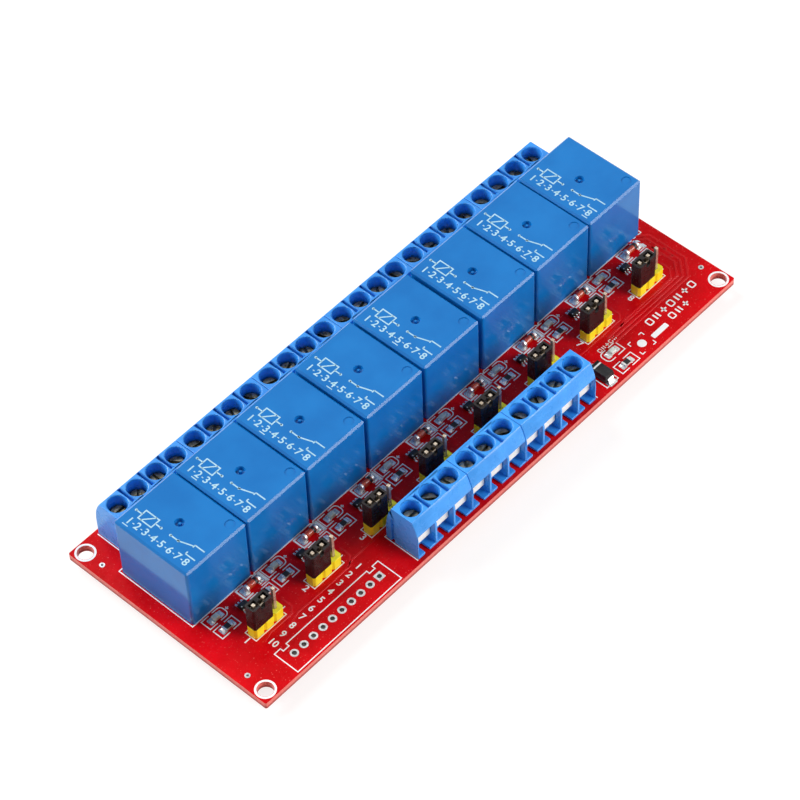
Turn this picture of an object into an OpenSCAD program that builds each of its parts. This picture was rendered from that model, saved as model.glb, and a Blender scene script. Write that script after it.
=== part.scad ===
// Eight-channel relay module board: red circuit board, eight sealed relays in one row, a 24-way
// screw terminal row for their contacts, a 10-way row for the inputs, and one jumper per channel.
// Origin: middle of the four corner holes, on the underside of the board. +X runs along the board,
// +Y towards the 24-way row, +Z out of the component side.

/* [Circuit board] */
// Length of the board
board_l = 134.2; // [132:0.2:150]
// Width of the board
board_w = 51.2; // [50.4:0.2:60]
// Thickness of the board
board_t = 1.6; // [1:0.1:2.4]
// Diameter of the corner holes, for M3 screws
mount_hole_d = 3.2; // [2.6:0.1:3.6]
// Distance from each board edge to the centre of a corner hole
mount_inset = 2.3; // [2.1:0.1:3]
// Radius of the board's corners
board_corner_r = 0.4; // [0.2:0.1:1.2]
// How far the trimmed terminal legs stand out below the board
leg_reach = 1.9; // [1.4:0.1:2.5]

/* [Relays] */
// Width of a relay, along the board
relay_w = 15.5; // [14.6:0.1:15.6]
// Length of a relay, across the board
relay_l = 18.8; // [17:0.2:19.4]
// Height of a relay
relay_h = 15.5; // [12:0.5:20]
// Spacing of the relays along the board
relay_pitch = 16.0; // [15.9:0.1:16.4]
// Gap between the relays and the 24-way row
relay_gap = 1.3; // [0.6:0.1:2]
// Radius of a relay's upright edges
relay_corner_r = 0.6; // [0.3:0.1:1.2]
// Bevel round the top of a relay
relay_bevel = 0.4; // [0.2:0.1:0.8]
// Diameter of the sealing nib's recess in the top of a relay
nib_recess_d = 2.0; // [1.4:0.1:3]
// Depth of the sealing nib's recess
nib_recess_depth = 0.7; // [0.3:0.1:1.2]
// Diameter of the sealing nib
nib_d = 0.8; // [0.4:0.1:1.1]

/* [Screw terminals] */
// Spacing of the terminal ways
way_pitch = 5.08; // [5:0.01:5.08]
// Depth of a terminal housing, from the entry face to the back
block_d = 8.2; // [7.8:0.1:8.8]
// Height of a terminal housing
block_h = 10; // [9.4:0.2:13]
// Diameter of a screw well
well_d = 3.8; // [3.6:0.1:4.2]
// Distance from the entry face to the centres of the screw wells
well_y = 3.9; // [3.7:0.1:4.2]
// Width of a wire entry
entry_w = 4.5; // [4.3:0.1:4.6]
// Height of a wire entry at its mouth
entry_h = 5.9; // [5.4:0.1:6.4]
// Thickness of a housing's floor
floor_t = 0.5; // [0.4:0.1:0.8]
// Distance from the board's front edge to the 10-way row
front_inset = 0.85; // [0.2:0.05:1.2]
// Distance from the board's rear edge to the 24-way row
rear_inset = 0.9; // [0.2:0.1:1.4]

/* [Trigger headers] */
// Spacing of the header pins
pin_pitch = 2.54; // [2.5:0.02:2.54]
// Side of a square header pin
pin_w = 0.64; // [0.5:0.02:0.66]
// Height of the yellow header base
header_h = 2.5; // [2:0.1:3]
// Depth of the yellow header base
header_d = 2.5; // [2.3:0.1:2.5]
// Height of the pins above the header base
pin_reach = 6; // [5.5:0.1:7]
// Height of a jumper cap
cap_h = 6; // [5:0.1:6.5]
// Spacing of the eight channels' small parts along the board
channel_pitch = 15.57; // [15.3:0.01:15.7]

/* [Hidden] */

eps = 0.01;
round_fn = 48;

// Rows along the board
channels = 8;
relay_row_x = 0.35;
// Hand-soldered relays stand a little off their even spacing
relay_shift = [0, -0.15, -0.25, -0.15, -0.1, 0.25, 0.2, 0];
rear_blocks = [4, 4, 4, 4, 4, 4];
front_blocks = [3, 3, 4];
rear_row_x = 0.9;
front_row_x = 0.2;
channel_row_x = 0.2;

// Relay details
relay_y = board_w/2 - rear_inset - block_d - relay_gap - relay_l/2;
relay_front_y = relay_y - relay_l/2;
nib_recess_taper = 0.8;
nib_taper = 0.6;
nib_rise = 0.7;
relay_wall = 0.9;
relay_recess = 0.5;
mark_d = 2.1;
mark_depth = 0.15;
mark_inset = [2.0, 2.2];
// Common, coil, coil, normally open, normally closed: inset from the relay's sides
relay_pin_x = 6;
relay_pin_y = [-7.1, -5.1, 7.1];
relay_pin_size = [1.0, 0.45];
relay_pin_reach = 1.5;

// Terminal details
block_seam = 0.08;
front_arc_z = 4.8;
front_arc_in = 1.45;
rear_arc_z = 2.5;
rear_arc_in = 1.65;
mouth_d = 1.95;
hood_d = 1.2;
chamber_w = 4.1;
chamber_d = 6.9;
chamber_h = 4.8;
notch_w = 1.2;
notch_d = 2.3;
well_lead_in = 0.2;
slot_w = 0.55;
slot_depth = 1.8;
slot_back = 5.6;
key_y = 6.1;
key_w = 0.7;
key_out = 0.35;
key_h = 6.6;
key_gap = 0.05;
thread_d = 2.5;
running_gap = 0.03;
seat_gap = 0.04;
frame_t = 0.6;
frame_front = 2.45;
frame_w = 4.0;
plate_t = 0.5;
leg_size = [1.0, 0.7];
leg_gap = 0.05;
guard_y = 1.3;
guard_t = 0.3;
guard_w = 4.2;
guard_z = 2.75;
guard_lip_z = 4.6;
head_h = 1.6;
head_top = 7.7;
head_gap = 0.15;
head_crown = 0.3;
crown_taper = 0.8;
screw_slot = [0.6, 0.7];
screw_turn = 137.5;

// Soldering
solder_d = 2.0;
solder_tip = 0.35;
solder_h = 0.9;
leg_hole_d = 1.3;
pin_hole_d = 1.02;
pin_solder_d = 1.6;
pin_tail = 1.4;

// Header and cap details
header_pins_n = 3;
header_gap = 2.0;
header_chamfer = 0.45;
hole_gap = 0.03;
cap_gap = 0.1;
cap_slot_w = 1.5;
cap_slot_l = 4.2;
cap_roof = 0.9;
cap_web = 0.5;
cap_notch_w = 1.1;
cap_notch_depth = 1.4;
cap_chamfer = 0.3;
clip_t = 0.2;
clip_gap = 0.04;
clip_l = 3.9;
clip_foot = 0.6;

// Input socket: ten bare holes near the board's left end
socket_n = 10;
socket_x = -44.16;
socket_inset = 3.84;
socket_hole_d = 1.0;

// Small parts
chip_size = [2.0, 1.25, 0.5];
chip_cap = 0.35;
chip_cap_over = 0.03;
lamp_size = [2.0, 1.25, 0.3];
lamp_dome_h = 0.5;
lamp_dome_l = 1.4;
lamp_dome_lean = 0.2;
melf_l = 3.5;
melf_d = 1.5;
melf_glass_d = 1.4;
melf_cap = 0.45;
lead_root = 0.2;
sot_size = [2.0, 1.25, 0.95];
sot_lift = 0.08;
sot_draft = 0.1;
sot_span = 2.2;
sot_lead = [0.25, 0.13];
sot_pitch = 0.7;
sma_size = [2.6, 4.3, 2.1];
sma_draft = 0.18;
sma_span = 5.1;
sma_lead = [1.5, 0.2];
sma_foot = 1.6;

// Places of the channel parts: x from the middle pin of the channel's header, and y of each row,
// which lies a set way in front of the relays; a transistor lies between its relay and its header
header_y = front_inset - board_w/2 + block_d + header_gap + header_d/2;
lamp_row_gap = 1.9;
lamp_row_y = relay_front_y - lamp_row_gap;
chip_row_gap = 4.95;
chip_row_y = relay_front_y - chip_row_gap;
header_side = header_pins_n * pin_pitch/2;
chip_side_gap = 0.05;
transistor_share = 0.47;
led_at = [-5.17, lamp_row_y];
diode_at = [4.5, lamp_row_y];
led_resistor_at = [-5.2, chip_row_y];
base_resistor_at = [header_side + chip_side_gap + chip_size[0]/2, chip_row_y];
transistor_at = [0.05, relay_front_y - transistor_share * (relay_front_y - header_y - header_d/2)];

// Places past the right end of the front row: x from that end, y from the board's front edge
power_led_at = [11.05, 6.1];
power_resistor_at = [10.85, 2.2];
input_diode_at = [5.25, 3.9];

function ways_before(blocks, i) = i == 0 ? 0 : blocks[i - 1] + ways_before(blocks, i - 1);
function total(blocks) = ways_before(blocks, len(blocks));
function row_start(blocks, middle) = middle - total(blocks) * way_pitch/2;
function relay_x(i) = relay_row_x + (i - (channels - 1)/2) * relay_pitch + relay_shift[i];
function channel_x(i) = channel_row_x + (i - (channels - 1)/2) * channel_pitch;
// Radius of an arc that starts upright and leans in by "inward" over "rise"
function lean_radius(rise, inward) = (rise*rise + inward*inward) / (2 * inward);
function corner_signs() = [for (sx = [-1, 1], sy = [-1, 1]) [sx, sy]];

// ---------- placing ----------

// Front row: y = 0 on the entry face, growing towards the back of the housing
module front_row() {
    translate([row_start(front_blocks, front_row_x), front_inset - board_w/2, board_t]) children();
}

module rear_row() {
    translate([row_start(rear_blocks, rear_row_x), board_w/2 - rear_inset, board_t])
        mirror([0, 1, 0]) children();
}

module each_way(blocks) {
    for (i = [0:total(blocks) - 1])
        translate([(i + 0.5) * way_pitch, 0, 0]) {
            $way = i;
            children();
        }
}

module at_relay(i) {
    translate([relay_x(i), relay_y, board_t]) children();
}

module at_channel(i, place = [0, header_y]) {
    translate([channel_x(i) + place[0], place[1], board_t]) children();
}

module each_channel(place = [0, header_y]) {
    for (i = [0:channels - 1]) at_channel(i, place) children();
}

module past_front_row(place) {
    front_row() translate([total(front_blocks) * way_pitch + place[0], place[1] - front_inset, 0]) children();
}

module each_header_pin() {
    for (k = [0:header_pins_n - 1])
        translate([(k - (header_pins_n - 1)/2) * pin_pitch, 0, 0]) children();
}

module each_relay_pin() {
    translate([0, relay_pin_y[0], 0]) children();
    for (sx = [-1, 1], y = [relay_pin_y[1], relay_pin_y[2]])
        translate([sx * relay_pin_x, y, 0]) children();
}

// ---------- shared shapes ----------

module rounded_rect(size, r) {
    square([size[0] - 2*r, size[1]], center = true);
    square([size[0], size[1] - 2*r], center = true);
    for (s = corner_signs())
        translate([s[0] * (size[0]/2 - r), s[1] * (size[1]/2 - r)]) circle(r, $fn = round_fn);
}

module chamfered_rect(size, c) {
    w = size[0]/2;
    d = size[1]/2;
    polygon([
        [c - w, -d], [w - c, -d], [w, c - d], [w, d - c],
        [w - c, d], [c - w, d], [-w, d - c], [-w, c - d]
    ]);
}

module block(size) {
    translate([-size[0]/2, -size[1]/2, 0]) cube(size);
}

// A leg through the board with its cone of solder on the underside, z = 0 on the component side
module soldered_leg(size, top, reach, foot_d) {
    translate([0, 0, -board_t - reach]) block([size[0], size[1], board_t + reach + top]);
    translate([0, 0, -board_t - solder_h])
        cylinder(d1 = max(size[0], size[1]) + solder_tip, d2 = foot_d, h = solder_h, $fn = round_fn);
}

// ---------- circuit board ----------

module circuit_board() color([0.78, 0.02, 0.06]) {
    difference() {
        linear_extrude(board_t) rounded_rect([board_l, board_w], board_corner_r);
        for (s = corner_signs())
            translate([s[0] * (board_l/2 - mount_inset), s[1] * (board_w/2 - mount_inset), 0])
                drilled(mount_hole_d);
        for (i = [0:channels - 1]) {
            translate([relay_x(i), relay_y, 0]) each_relay_pin() drilled(leg_hole_d);
            translate([channel_x(i), header_y, 0]) each_header_pin() drilled(pin_hole_d);
        }
        translate([0, 0, -board_t]) {
            front_row() each_way(front_blocks) translate([0, well_y, 0]) drilled(leg_hole_d);
            rear_row() each_way(rear_blocks) translate([0, well_y, 0]) drilled(leg_hole_d);
        }
        for (k = [0:socket_n - 1])
            translate([socket_x + (k - (socket_n - 1)/2) * pin_pitch, socket_inset - board_w/2, 0])
                drilled(socket_hole_d);
    }
}

module drilled(d) {
    translate([0, 0, -eps]) cylinder(d = d, h = board_t + 2*eps, $fn = round_fn);
}

// ---------- relays ----------

// Moulded cover, closed below by a base that sits a little way up inside the cover's walls
module relay(i) color([0.10, 0.40, 0.78]) at_relay(i) {
    difference() {
        intersection() {
            linear_extrude(relay_h) rounded_rect([relay_w, relay_l], relay_corner_r);
            rotate([90, 0, 0]) linear_extrude(relay_l, center = true) bevelled_side(relay_w);
            rotate([90, 0, 90]) linear_extrude(relay_w, center = true) bevelled_side(relay_l);
        }
        translate([0, 0, -eps])
            linear_extrude(relay_recess + eps)
                rounded_rect([relay_w - 2*relay_wall, relay_l - 2*relay_wall], relay_corner_r);
        translate([0, 0, relay_h - nib_recess_depth])
            cylinder(
                d1 = nib_recess_d * nib_recess_taper, d2 = nib_recess_d,
                h = nib_recess_depth + eps, $fn = round_fn
            );
        translate([relay_w/2 - mark_inset[0], mark_inset[1] - relay_l/2, relay_h - mark_depth])
            cylinder(d = mark_d, h = mark_depth + eps, $fn = round_fn);
    }
    translate([0, 0, relay_h - nib_recess_depth - eps])
        cylinder(d1 = nib_d, d2 = nib_d * nib_taper, h = nib_recess_depth * nib_rise, $fn = round_fn);
}

module bevelled_side(w) {
    polygon([
        [-w/2, 0], [w/2, 0], [w/2, relay_h - relay_bevel], [w/2 - relay_bevel, relay_h],
        [relay_bevel - w/2, relay_h], [-w/2, relay_h - relay_bevel]
    ]);
}

module relay_pins() color([0.75, 0.75, 0.72])
    for (i = [0:channels - 1]) at_relay(i) each_relay_pin()
        soldered_leg(relay_pin_size, relay_recess, relay_pin_reach, solder_d);

// ---------- screw terminals ----------

// Side view of a housing: upright below, with one long arc up each side to the narrower top
module housing_profile() {
    front_r = lean_radius(block_h - front_arc_z, front_arc_in);
    rear_r = lean_radius(block_h - rear_arc_z, rear_arc_in);
    intersection() {
        square([block_d, block_h]);
        union() {
            square([block_d, front_arc_z]);
            translate([front_r, front_arc_z]) circle(front_r, $fn = round_fn);
        }
        union() {
            square([block_d, rear_arc_z]);
            translate([block_d - rear_r, rear_arc_z]) circle(rear_r, $fn = round_fn);
        }
    }
}

module along_x(length) {
    rotate([90, 0, 90]) linear_extrude(length) children();
}

module terminal(blocks, i) color([0.18, 0.50, 0.90])
    translate([ways_before(blocks, i) * way_pitch, 0, 0]) housing(blocks[i]);

module housing(ways) {
    length = ways * way_pitch;
    difference() {
        union() {
            translate([block_seam/2, 0, 0]) along_x(length - block_seam) housing_profile();
            // Key that slides into the next housing
            translate([length - block_seam, key_y + key_gap, 0])
                cube([block_seam/2 + key_out, key_w - 2*key_gap, key_h - key_gap]);
        }
        translate([block_seam/2 - eps, key_y, -eps])
            cube([key_out + block_seam, key_w, key_h + eps]);
        for (k = [0:ways - 1]) translate([(k + 0.5) * way_pitch, 0, 0]) way_cavity();
        for (k = [1:1:ways - 1])
            translate([k * way_pitch - slot_w/2, front_arc_in, block_h - slot_depth])
                cube([slot_w, slot_back - front_arc_in, slot_depth + eps]);
    }
}

module way_cavity() {
    translate([-entry_w/2, -eps, floor_t]) cube([entry_w, hood_d, entry_h]);
    translate([-entry_w/2, 0, floor_t]) cube([entry_w, mouth_d, chamber_h]);
    translate([-chamber_w/2, 0, floor_t]) cube([chamber_w, chamber_d, chamber_h]);
    translate([-notch_w/2, -eps, -eps]) cube([notch_w, notch_d, floor_t + 2*eps]);
    translate([0, well_y, floor_t + chamber_h - eps]) cylinder(d = well_d, h = block_h, $fn = round_fn);
    translate([0, well_y, block_h - well_lead_in])
        cylinder(d1 = well_d, d2 = well_d + 2*(well_lead_in + eps), h = well_lead_in + eps, $fn = round_fn);
    translate([0, well_y, -eps]) block([leg_size[0] + 2*leg_gap, leg_size[1] + 2*leg_gap, floor_t + 2*eps]);
}

// Stamped frame over the chamber, with the screw's thread in its top and its back wall on the floor
module way_frame() {
    top = floor_t + chamber_h - seat_gap;
    back = chamber_d - seat_gap;
    difference() {
        translate([-frame_w/2, 0, 0]) along_x(frame_w) polygon([
            [frame_front, top - frame_t], [back - frame_t, top - frame_t], [back - frame_t, floor_t],
            [back, floor_t], [back, top], [frame_front, top]
        ]);
        translate([0, well_y, top - frame_t - eps])
            cylinder(d = thread_d, h = frame_t + 2*eps, $fn = round_fn);
    }
}

// Contact plate on the chamber's floor, with the leg that is soldered into the board
module way_leg() {
    plate_l = chamber_d - 2*seat_gap - frame_t - frame_front;
    translate([-frame_w/2, frame_front, floor_t]) cube([frame_w, plate_l, plate_t]);
    translate([0, well_y, 0]) soldered_leg(leg_size, floor_t + plate_t/2, leg_reach, solder_d);
}

// Bent strip that the screw presses on the wire, with its lip standing up behind the wire entry
module way_guard() {
    back = chamber_d - 2*seat_gap - frame_t;
    translate([-guard_w/2, 0, 0]) along_x(guard_w) polygon([
        [guard_y, guard_z - guard_t], [mouth_d, guard_z - guard_t], [mouth_d, guard_z],
        [guard_y + guard_t, guard_z], [guard_y + guard_t, guard_lip_z], [guard_y, guard_lip_z]
    ]);
    translate([-frame_w/2, mouth_d - eps, guard_z - guard_t]) cube([frame_w, back - mouth_d + eps, guard_t]);
}

module way_screw() {
    head_d = well_d - 2*head_gap;
    crown_h = head_h * head_crown;
    translate([0, well_y, 0]) rotate($way * screw_turn) difference() {
        union() {
            translate([0, 0, guard_z])
                cylinder(d = thread_d - 2*running_gap, h = head_top - guard_z - head_h/2, $fn = round_fn);
            translate([0, 0, head_top - head_h]) cylinder(d = head_d, h = head_h - crown_h, $fn = round_fn);
            translate([0, 0, head_top - crown_h])
                cylinder(d1 = head_d, d2 = head_d * crown_taper, h = crown_h, $fn = round_fn);
        }
        translate([0, 0, head_top - screw_slot[1]]) block([well_d, screw_slot[0], screw_slot[1] + eps]);
    }
}

module solder_legs(blocks) color([0.80, 0.79, 0.74]) each_way(blocks) way_leg();

module screw_frames(blocks) color([0.72, 0.72, 0.70]) each_way(blocks) way_frame();

module wire_guards(blocks) color([0.92, 0.91, 0.86]) each_way(blocks) way_guard();

module screws(blocks) color([0.70, 0.66, 0.52]) each_way(blocks) way_screw();

// ---------- trigger headers ----------

module header_base(i) color([0.96, 0.82, 0.16]) at_channel(i) difference() {
    each_header_pin() linear_extrude(header_h)
        chamfered_rect([pin_pitch + eps, header_d], header_chamfer);
    each_header_pin() translate([0, 0, -eps])
        block([pin_w + 2*hole_gap, pin_w + 2*hole_gap, header_h + 2*eps]);
}

module header_pins() color([0.85, 0.80, 0.62])
    each_channel() each_header_pin()
        soldered_leg([pin_w, pin_w], header_h + pin_reach, pin_tail, pin_solder_d);

// A cap bridges the two left-hand pins of its header
module at_cap(i) {
    at_channel(i, [-pin_pitch/2, header_y]) translate([0, 0, header_h]) children();
}

module jumper_cap(i) color([0.12, 0.10, 0.10]) at_cap(i) difference() {
    linear_extrude(cap_h) chamfered_rect([2*pin_pitch - cap_gap, pin_pitch - cap_gap], cap_chamfer);
    // Room for the clip, open below
    translate([0, 0, -eps]) block([cap_slot_l, cap_slot_w, cap_h - cap_roof + eps]);
    // Two windows in the roof, over the pins
    for (sx = [-1, 1]) translate([sx * pin_pitch/2, 0, cap_h - cap_roof - eps])
        block([pin_pitch - cap_web - (2*pin_pitch - cap_slot_l)/2 + eps, cap_slot_w, cap_roof + 2*eps]);
    // Test notch in the front wall
    translate([0, 0, cap_h - cap_notch_depth + cap_notch_w/2]) rotate([90, 0, 0]) {
        cylinder(d = cap_notch_w, h = pin_pitch, $fn = round_fn);
        translate([-cap_notch_w/2, 0, 0]) cube([cap_notch_w, cap_notch_depth, pin_pitch]);
    }
}

// Folded spring clip: two leaves that grip both pins, joined by a bridge between them
module jumper_clip(i) color([0.80, 0.70, 0.45]) at_cap(i) {
    inner = pin_w + 2*clip_gap;
    translate([0, 0, clip_foot]) linear_extrude(cap_h - cap_roof - clip_foot) {
        for (sy = [-1, 1]) translate([0, sy * (inner + clip_t)/2]) square([clip_l, clip_t], center = true);
        square([clip_t, inner + clip_t], center = true);
    }
}

// ---------- small parts ----------

module chip_resistor() {
    block([chip_size[0] - 2*chip_cap_over, chip_size[1] - 2*chip_cap_over, chip_size[2]]);
    for (sx = [-1, 1]) translate([sx * (chip_size[0] - chip_cap)/2, 0, 0])
        block([chip_cap, chip_size[1], chip_size[2] + chip_cap_over]);
}

module chip_lamp() {
    block(lamp_size);
    translate([0, 0, lamp_size[2] - eps]) rotate([90, 0, 0])
        linear_extrude(lamp_size[1], center = true) polygon([
            [-lamp_dome_l/2, 0], [lamp_dome_l/2, 0],
            [lamp_dome_l/2 - lamp_dome_lean, lamp_dome_h], [lamp_dome_lean - lamp_dome_l/2, lamp_dome_h]
        ]);
}

module glass_diode() {
    translate([0, 0, melf_d/2]) rotate([0, 90, 0]) {
        cylinder(d = melf_glass_d, h = melf_l - 2*eps, center = true, $fn = round_fn);
        for (sz = [-1, 1]) translate([0, 0, sz * (melf_l - melf_cap)/2])
            cylinder(d = melf_d, h = melf_cap, center = true, $fn = round_fn);
    }
}

// Moulded body with tapered flanks
module moulded_body(size, lift, draft) {
    mid = size[2]/2;
    translate([0, 0, lift]) rotate([90, 0, 90]) linear_extrude(size[0], center = true) polygon([
        [draft - size[1]/2, 0], [size[1]/2 - draft, 0], [size[1]/2, mid - lift/2],
        [size[1]/2 - draft, size[2] - lift], [draft - size[1]/2, size[2] - lift], [-size[1]/2, mid - lift/2]
    ]);
}

// Gull-wing lead, from the middle of the body's flank down to the board
module gull_lead() {
    w = sot_lead[0];
    t = sot_lead[1];
    flank = sot_size[1]/2;
    foot = sot_span/2;
    knee = (flank + foot)/2;
    z = sot_size[2]/2;
    translate([-w/2, 0, 0]) along_x(w) polygon([
        [flank - lead_root, z], [knee - t/2, z], [knee - t/2, 0], [foot, 0], [foot, t],
        [knee + t/2, t], [knee + t/2, z + t], [flank - lead_root, z + t]
    ]);
}

module transistor() {
    moulded_body(sot_size, sot_lift, sot_draft);
    for (side = [0, 1], k = [-1:1]) mirror([0, side, 0]) translate([k * sot_pitch, 0, 0]) gull_lead();
}

// Body with a lead folded under each end
module rectifier() {
    w = sma_lead[0];
    t = sma_lead[1];
    mid = sma_size[2]/2;
    root = sma_size[1]/2 - lead_root;
    outer = sma_span/2;
    moulded_body(sma_size, t, sma_draft);
    for (side = [0, 1]) mirror([0, side, 0]) translate([-w/2, 0, 0]) along_x(w) polygon([
        [root, mid], [outer - t, mid], [outer - t, t], [outer - sma_foot, t],
        [outer - sma_foot, 0], [outer, 0], [outer, mid + t], [root, mid + t]
    ]);
}

module transistors() color([0.13, 0.13, 0.14]) each_channel(transistor_at) transistor();

module flyback_diodes() color([0.75, 0.25, 0.15]) each_channel(diode_at) glass_diode();

module chip_resistors() color([0.15, 0.15, 0.16]) {
    each_channel(led_resistor_at) chip_resistor();
    each_channel(base_resistor_at) chip_resistor();
    past_front_row(power_resistor_at) chip_resistor();
}

module status_leds() color([0.80, 0.85, 0.75]) each_channel(led_at) chip_lamp();

module power_led() color([0.80, 0.85, 0.75]) past_front_row(power_led_at) chip_lamp();

module input_diode() color([0.12, 0.12, 0.13]) past_front_row(input_diode_at) rectifier();

circuit_board();
relay(0);  // relay_1
relay(1);  // relay_2
relay(2);  // relay_3
relay(3);  // relay_4
relay(4);  // relay_5
relay(5);  // relay_6
relay(6);  // relay_7
relay(7);  // relay_8
relay_pins();
rear_row() terminal(rear_blocks, 0);  // rear_terminal_1
rear_row() terminal(rear_blocks, 1);  // rear_terminal_2
rear_row() terminal(rear_blocks, 2);  // rear_terminal_3
rear_row() terminal(rear_blocks, 3);  // rear_terminal_4
rear_row() terminal(rear_blocks, 4);  // rear_terminal_5
rear_row() terminal(rear_blocks, 5);  // rear_terminal_6
rear_row() solder_legs(rear_blocks);  // rear_solder_legs
rear_row() screw_frames(rear_blocks);  // rear_screw_frames
rear_row() wire_guards(rear_blocks);  // rear_wire_guards
rear_row() screws(rear_blocks);  // rear_screws
front_row() terminal(front_blocks, 0);  // front_terminal_1
front_row() terminal(front_blocks, 1);  // front_terminal_2
front_row() terminal(front_blocks, 2);  // front_terminal_3
front_row() solder_legs(front_blocks);  // front_solder_legs
front_row() screw_frames(front_blocks);  // front_screw_frames
front_row() wire_guards(front_blocks);  // front_wire_guards
front_row() screws(front_blocks);  // front_screws
header_base(0);  // header_base_1
header_base(1);  // header_base_2
header_base(2);  // header_base_3
header_base(3);  // header_base_4
header_base(4);  // header_base_5
header_base(5);  // header_base_6
header_base(6);  // header_base_7
header_base(7);  // header_base_8
header_pins();
jumper_cap(0);  // jumper_cap_1
jumper_cap(1);  // jumper_cap_2
jumper_cap(2);  // jumper_cap_3
jumper_cap(3);  // jumper_cap_4
jumper_cap(4);  // jumper_cap_5
jumper_cap(5);  // jumper_cap_6
jumper_cap(6);  // jumper_cap_7
jumper_cap(7);  // jumper_cap_8
jumper_clip(0);  // jumper_clip_1
jumper_clip(1);  // jumper_clip_2
jumper_clip(2);  // jumper_clip_3
jumper_clip(3);  // jumper_clip_4
jumper_clip(4);  // jumper_clip_5
jumper_clip(5);  // jumper_clip_6
jumper_clip(6);  // jumper_clip_7
jumper_clip(7);  // jumper_clip_8
transistors();
flyback_diodes();
chip_resistors();
status_leds();
input_diode();
power_led();
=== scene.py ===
import math

import bpy
from mathutils import Matrix, Vector


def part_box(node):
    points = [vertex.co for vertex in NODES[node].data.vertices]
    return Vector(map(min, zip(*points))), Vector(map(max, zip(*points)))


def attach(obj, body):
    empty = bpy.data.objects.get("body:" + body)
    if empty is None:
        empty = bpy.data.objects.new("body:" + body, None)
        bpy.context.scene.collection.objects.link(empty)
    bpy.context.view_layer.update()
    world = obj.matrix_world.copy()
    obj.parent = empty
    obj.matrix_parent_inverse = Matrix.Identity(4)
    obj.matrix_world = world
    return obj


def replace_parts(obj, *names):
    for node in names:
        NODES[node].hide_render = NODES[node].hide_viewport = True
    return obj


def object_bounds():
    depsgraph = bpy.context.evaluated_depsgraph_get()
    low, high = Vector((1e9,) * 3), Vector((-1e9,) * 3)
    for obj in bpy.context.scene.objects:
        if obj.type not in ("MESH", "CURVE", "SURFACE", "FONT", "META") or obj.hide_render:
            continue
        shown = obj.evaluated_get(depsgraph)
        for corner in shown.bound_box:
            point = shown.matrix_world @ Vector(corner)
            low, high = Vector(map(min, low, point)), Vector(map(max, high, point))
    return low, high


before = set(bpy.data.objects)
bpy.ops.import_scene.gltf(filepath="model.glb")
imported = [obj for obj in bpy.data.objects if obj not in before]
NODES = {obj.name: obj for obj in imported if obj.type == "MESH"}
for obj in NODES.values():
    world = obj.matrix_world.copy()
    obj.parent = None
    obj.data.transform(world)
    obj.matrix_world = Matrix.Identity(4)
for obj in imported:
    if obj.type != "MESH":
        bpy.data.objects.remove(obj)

# Lengths are in millimetres, in the CAD frame, until a mesh is made in metres.
MM = 0.001
CAD_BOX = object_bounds()
CHANNELS = range(1, 9)


# ---------- places, from the frame ----------

class Box:
    """A CAD node's box in millimetres."""

    def __init__(self, node):
        low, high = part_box(node)
        self.low = low / MM
        self.high = high / MM
        self.mid = (self.low + self.high) / 2
        self.size = self.high - self.low


BOARD = Box("circuit_board")
TOP = BOARD.high.z
RELAYS = [Box(f"relay_{k}") for k in CHANNELS]
HEADERS = [Box(f"header_base_{k}") for k in CHANNELS]
FRONT_BLOCKS = [Box(f"front_terminal_{k}") for k in range(1, 4)]
REAR_BLOCKS = [Box(f"rear_terminal_{k}") for k in range(1, 7)]
CORNER_INSET = 2.3
CORNERS = [
    (x, y)
    for x in (BOARD.low.x + CORNER_INSET, BOARD.high.x - CORNER_INSET)
    for y in (BOARD.low.y + CORNER_INSET, BOARD.high.y - CORNER_INSET)
]


def from_corner(x, y):
    """A place on the board measured from its front left corner."""
    return BOARD.low.x + x, BOARD.low.y + y


def corner_area(x0, y0, x1, y1):
    return *from_corner(x0, y0), *from_corner(x1, y1)


def at_channel(k, x, y):
    """A place measured from the middle of channel k's header, with k from 1."""
    mid = HEADERS[k - 1].mid
    return mid.x + x, mid.y + y


def channel_area(k, x0, y0, x1, y1):
    return *at_channel(k, x0, y0), *at_channel(k, x1, y1)


# ---------- materials ----------

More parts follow.
